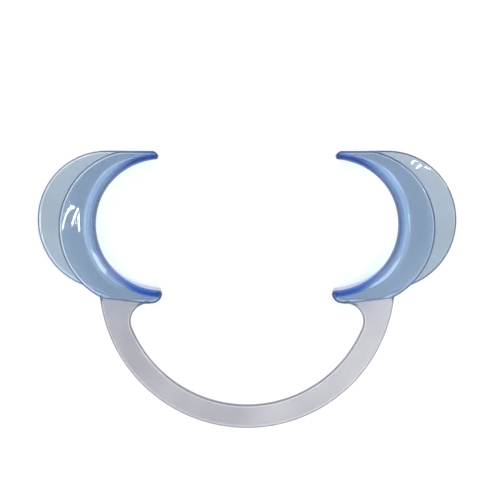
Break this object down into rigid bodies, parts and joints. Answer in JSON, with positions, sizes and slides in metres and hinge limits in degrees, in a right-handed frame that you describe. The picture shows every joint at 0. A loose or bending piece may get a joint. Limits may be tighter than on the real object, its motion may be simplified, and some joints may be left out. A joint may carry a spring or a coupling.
{
  "type": "cheek retractor",
  "caption": "C-shaped cheek retractor: a clear springy bow with a blue saddle-shaped cup at each end that hooks and spreads the corners of the lips.",
  "frame": {"origin": "centre of the footprint, on the table that the two inner flanges lie on", "axes": "+X across the mouth, +Y from the chin to the nose, +Z out of the mouth towards the viewer"},
  "size_m": [0.1188, 0.0774, 0.0124],
  "materials": {
    "blue_cup": "polished, transparent blue",
    "clear_bow": "polished, transparent, colourless"
  },
  "bodies": {
    "right_half": {"right_bow_half": "clear_bow", "right_cheek_cup": "blue_cup"},
    "left_half": {"left_bow_half": "clear_bow", "left_cheek_cup": "blue_cup"}
  },
  "joints": [
    {"name": "bow_flex", "type": "hinge", "parent": "right_half", "child": "left_half", "pos_m": [0, -0.026, 0.0108], "axis": [0, 0, -1], "range_deg": [0, 28], "stiffness_Nm_per_rad": 1.3}
  ]
}
